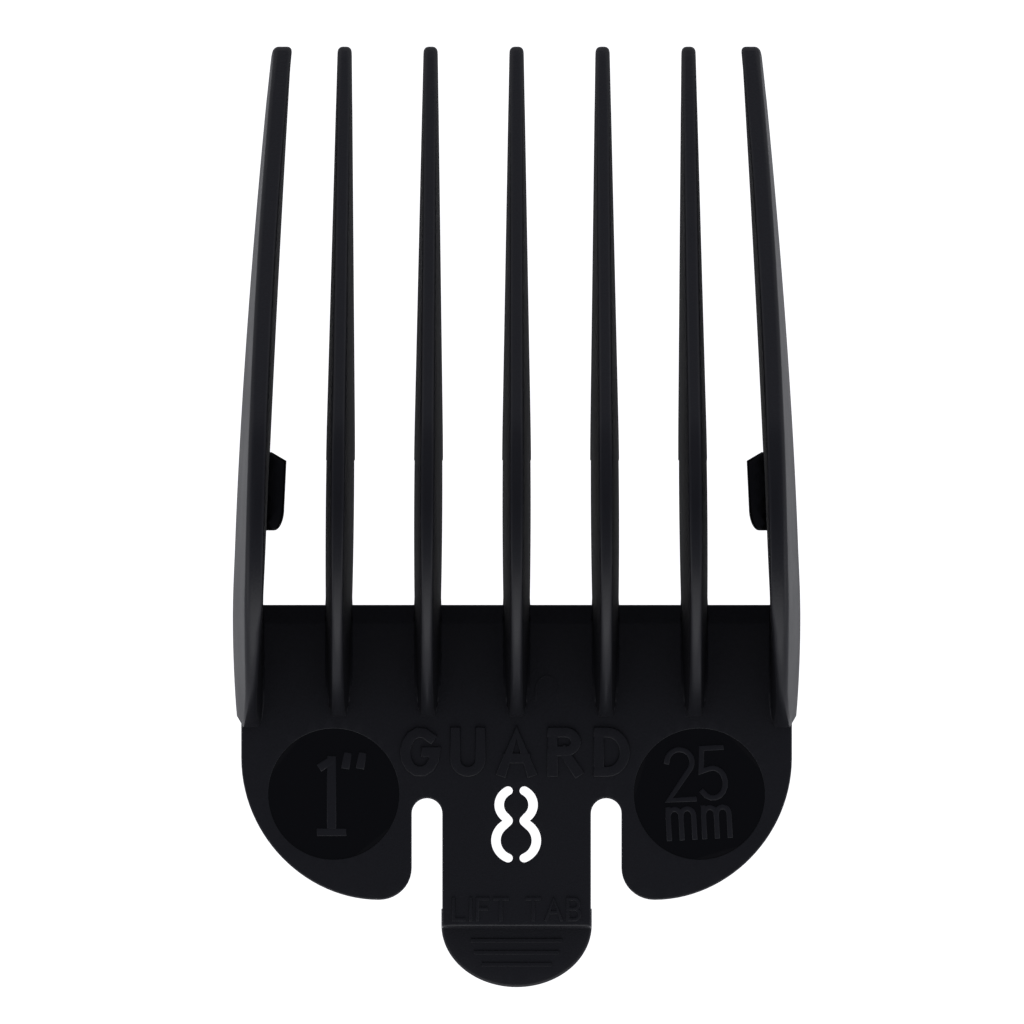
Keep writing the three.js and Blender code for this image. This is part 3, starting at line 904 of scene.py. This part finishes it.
def ribbon(points, width):
    """The outline of a stroke with square ends."""
    points = np.array(points, float)
    ahead = np.diff(points, axis=0)
    ahead /= np.linalg.norm(ahead, axis=1)[:, None]
    sides = np.stack([-ahead[:, 1], ahead[:, 0]], axis=1)
    first = np.concatenate([sides[:1], sides])
    last = np.concatenate([sides, sides[-1:]])
    middle = first + last
    middle /= np.clip((middle * first).sum(axis=1), STROKE_MITRE_LIMIT, None)[:, None]
    right = [tuple(p) for p in points - middle * width / 2]
    left = [tuple(p) for p in points + middle * width / 2]
    return right + left[::-1]


def extended(points, reach):
    """The path with both of its ends moved outwards."""
    points = np.array(points, float)
    for end, beside in ((0, 1), (-1, -2)):
        ahead = points[end] - points[beside]
        points[end] += ahead * reach / np.linalg.norm(ahead)
    return points


# Each character's width and its strokes, in a box 1 high with its left foot at the origin.
GLYPHS = {
    " ": (0.3, []),
    "2": (0.5, [arc((0.25, 0.75), (0.25, 0.25), 175, -32) + [(0, 0), (0.5, 0)]]),
    "5": (0.47, [[(0.42, 1), (0.03, 1), (0, 0.54)] + arc((0.22, 0.3), (0.25, 0.3), 112, -145)]),
    "m": (0.9, [[(0, 0), (0, 1)], arc((0.22, 0.74), (0.22, 0.26), 180, 0) + [(0.44, 0)],
                arc((0.66, 0.74), (0.22, 0.26), 180, 0) + [(0.88, 0)]]),
    "G": (0.72, [arc((0.38, 0.5), (0.38, 0.5), 48, 360) + [(0.54, 0.5)]]),
    "U": (0.64, [[(0, 1)] + arc((0.32, 0.32), (0.32, 0.32), 180, 360) + [(0.64, 1)]]),
    "A": (0.72, [[(0, 0), (0.36, 1), (0.72, 0)], [(0.14, 0.34), (0.58, 0.34)]]),
    "R": (0.62, [[(0, 0), (0, 1)], [(0, 1), (0.3, 1)] + arc((0.32, 0.76), (0.27, 0.24), 80, -90)
                 + [(0, 0.52)], [(0.28, 0.52), (0.62, 0)]]),
    "D": (0.66, [[(0, 0), (0, 1)], [(0, 1)] + arc((0.22, 0.5), (0.44, 0.5), 90, -90) + [(0, 0)]]),
    "L": (0.5, [[(0, 1), (0, 0), (0.5, 0)]]),
    "I": (0.0, [[(0, 0), (0, 1)]]),
    "F": (0.5, [[(0.5, 1), (0, 1), (0, 0)], [(0, 0.52), (0.42, 0.52)]]),
    "T": (0.6, [[(0, 1), (0.6, 1)], [(0.3, 1), (0.3, 0)]]),
    "B": (0.56, [[(0, 0), (0, 1)], [(0, 1)] + arc((0.28, 0.76), (0.24, 0.24), 90, -90) + [(0, 0.52)],
                 [(0.26, 0.52)] + arc((0.28, 0.26), (0.28, 0.26), 85, -90) + [(0, 0)]]),
}


def word(text, centre, height, stroke, gap):
    """The strokes of a word as outlines, centred on a point of the plan view."""
    width = sum(GLYPHS[c][0] for c in text) * height + gap * (len(text) - 1)
    x = centre[0] - width / 2
    loops = []
    for letter in text:
        advance, strokes = GLYPHS[letter]
        for points in strokes:
            path = [(x + u * height, centre[1] + (v - 0.5) * height) for u, v in points]
            path = without_repeats(path + [(1e3, 1e3)])[:-1]
            loops.append(ribbon(extended(path, stroke / 2), stroke))
        x += advance * height + gap
    return loops


def turned(points, centre, degrees):
    """The points turned about a centre, anticlockwise."""
    cos, sin = math.cos(math.radians(degrees)), math.sin(math.radians(degrees))
    around = [(x - centre[0], y - centre[1]) for x, y in points]
    return [(centre[0] + x * cos - y * sin, centre[1] + x * sin + y * cos) for x, y in around]


def make_mark(name, loops, floor, height, body, material):
    """Raised strokes that stand on a floor. Crossing strokes differ a hair in height."""
    strokes = []
    for number, loop in enumerate(loops):
        top = floor + height + MARK_STAGGER * (number % 3)
        strokes.append(slab([loop], floor - MARK_SINK, top, min(MARK_EDGE_RADIUS, height * 0.4)))
    attach(smooth(build(name, joined(strokes), material)), body)


def make_size_marks():
    """The inch and millimetre marks in the pockets."""
    left = -POCKET_X
    stem_x = left - 0.2
    one = [
        ribbon([(stem_x, POCKET_Y - 3.2), (stem_x, POCKET_Y + 3.5)], 0.85),
        ribbon([(stem_x - 1.35, POCKET_Y - 3.5), (stem_x + 1.35, POCKET_Y - 3.5)], 0.7),
        ribbon([(stem_x + 0.2, POCKET_Y + 3.25), (stem_x - 1.15, POCKET_Y + 2.35)], 0.75),
    ]
    for x in (1.15, 2.5):
        one.append(ribbon([(left + x - 0.1, POCKET_Y + 2.3), (left + x + 0.15, POCKET_Y + 3.8)], 0.75))
    make_mark("inch_mark", one, POCKET_FLOOR_Z, 0.2, "comb", MARKS)

    right = POCKET_X
    digits = word("25", (right - 0.2, POCKET_Y + 1.87), 4.6, 0.5, 0.78)
    unit = word("mm", (right - 0.15, POCKET_Y - 2.6), 2.65, 0.48, 0.85)
    tilted = [turned(loop, (right, POCKET_Y), 3) for loop in digits + unit]
    make_mark("millimetre_mark", tilted, POCKET_FLOOR_Z, 0.2, "comb", MARKS)


def make_words():
    """Plain words on the plate and the tab, and the trace of the mould's gate."""
    part_word = word("GUARD", (-0.15, -13.45), 3.6, 0.95, 2.0)
    make_mark("part_word", part_word, PLATE_THICKNESS, 0.26, "comb", SATIN)
    tab_word = word("LIFT TAB", (0, -27.85), 1.9, 0.3, 0.62)
    make_mark("tab_word", tab_word, PLATE_THICKNESS, 0.13, "tongue", SATIN)
    gate = ribbon([(1.75, -8.8)] + arc((2.75, -7.7), (1.0, 1.2), 180, 0) + [(3.75, -8.8)], 0.16)
    make_mark("gate_mark", [gate], PLATE_THICKNESS, 0.03, "comb", SATIN)


def make_grip_bars():
    """Bars across the lip that stop the thumb from slipping."""
    for number, (reach, y) in enumerate(((4.2, -30.8), (3.9, -31.9), (3.2, -33.0)), 1):
        bar = ribbon([(-reach, y), (reach, y)], 0.36)
        make_mark(f"grip_bar_{number}", [bar], lip_top(y), 0.12, "tongue", SATIN)


# ---- Stage ----

def make_sheet(name, half_width, drop, glow):
    """A plain pale sheet below the comb, evenly lit through from behind."""
    corners = [(-half_width, -half_width), (half_width, -half_width), (half_width, half_width),
               (-half_width, half_width)]
    mesh = bpy.data.meshes.new(name)
    mesh.from_pydata([(x, y, -drop) for x, y in corners], [], [(0, 1, 2, 3)])
    material = bpy.data.materials.new(name)
    material.use_nodes = True
    shader = material.node_tree.nodes["Principled BSDF"]
    shader.inputs["Base Color"].default_value = (0.8, 0.8, 0.8, 1)
    shader.inputs["Roughness"].default_value = 0.9
    shader.inputs["Emission Color"].default_value = (1, 1, 1, 1)
    shader.inputs["Emission Strength"].default_value = glow
    mesh.materials.append(material)
    sheet = bpy.data.objects.new(name, mesh)
    bpy.context.scene.collection.objects.link(sheet)


def make_stage():
    """A pale floor well below the comb, so that its walls don't mirror it, and two cards on it."""
    make_sheet("floor", 30, 2.4, 0.15)
    make_sheet("grey_card", 1.1, 2.395, 0.41)
    make_sheet("white_card", 0.22, 2.39, 1.0)


def make_world():
    """A studio that is white at the horizon and dim overhead."""
    world = bpy.data.worlds.new("studio")
    world.use_nodes = True
    bpy.context.scene.world = world
    nodes, links = world.node_tree.nodes, world.node_tree.links
    place = nodes.new("ShaderNodeTexCoord")
    split = nodes.new("ShaderNodeSeparateXYZ")
    links.new(place.outputs["Generated"], split.inputs[0])
    ramp = nodes.new("ShaderNodeValToRGB")
    stops = ramp.color_ramp.elements
    stops[0].position, stops[0].color = 0.0, (0.6, 0.6, 0.6, 1)
    stops[1].position, stops[1].color = 1.0, (0.065, 0.068, 0.085, 1)
    for position, level in ((0.08, 0.37), (0.3, 0.2), (0.6, 0.14), (0.93, 0.15), (0.985, 0.085)):
        stop = stops.new(position)
        stop.color = (level, level * 1.02, level * 1.22, 1)
    links.new(split.outputs["Z"], ramp.inputs["Fac"])
    links.new(ramp.outputs["Color"], nodes["Background"].inputs["Color"])


def make_softbox(name, place, aim, size, power):
    light = bpy.data.lights.new(name, "AREA")
    light.shape = "RECTANGLE"
    light.size, light.size_y = size
    light.energy = power
    obj = bpy.data.objects.new(name, light)
    obj.location = place
    obj.rotation_euler = (Vector(aim) - Vector(place)).to_track_quat("-Z", "Y").to_euler()
    bpy.context.scene.collection.objects.link(obj)


def make_camera():
    """Square above the comb, far enough away that the tall teeth hardly grow."""
    distance = 1.8
    view_width = 0.0937
    camera = bpy.data.cameras.new("camera")
    camera.sensor_width = 36
    camera.lens = camera.sensor_width * distance / view_width
    camera.clip_end = 100
    obj = bpy.data.objects.new("camera", camera)
    obj.location = (-0.42 * MM, 8.5 * MM + DATUM.y, distance + DATUM.z + PLATE_THICKNESS * MM)
    bpy.context.scene.collection.objects.link(obj)
    bpy.context.scene.camera = obj


make_camera()
make_plate_and_tongue()
make_pockets()
make_step()
make_latch()
make_lip()
for rib_index in range(1, 6):
    make_rib(rib_index)
make_side_tooth("side_tooth_left_moulding", -1, "side_tooth_left")
make_side_tooth("side_tooth_right_moulding", 1, "side_tooth_right")
make_lug("blade_lug_left", -1, "side_lug_left")
make_lug("blade_lug_right", 1, "side_lug_right")
make_size_marks()
make_words()
make_grip_bars()
make_stage()
make_world()
make_softbox("rear_softbox", (0, -1.1, 0.45), (0, 0, 0), (1.6, 0.9), 3)
make_softbox("left_softbox", (-1.2, -0.6, 0.2), (0, 0, 0), (0.8, 0.5), 0.6)
make_softbox("right_softbox", (1.2, -0.6, 0.2), (0, 0, 0), (0.8, 0.5), 0.6)
bpy.context.scene.view_settings.view_transform = "Standard"
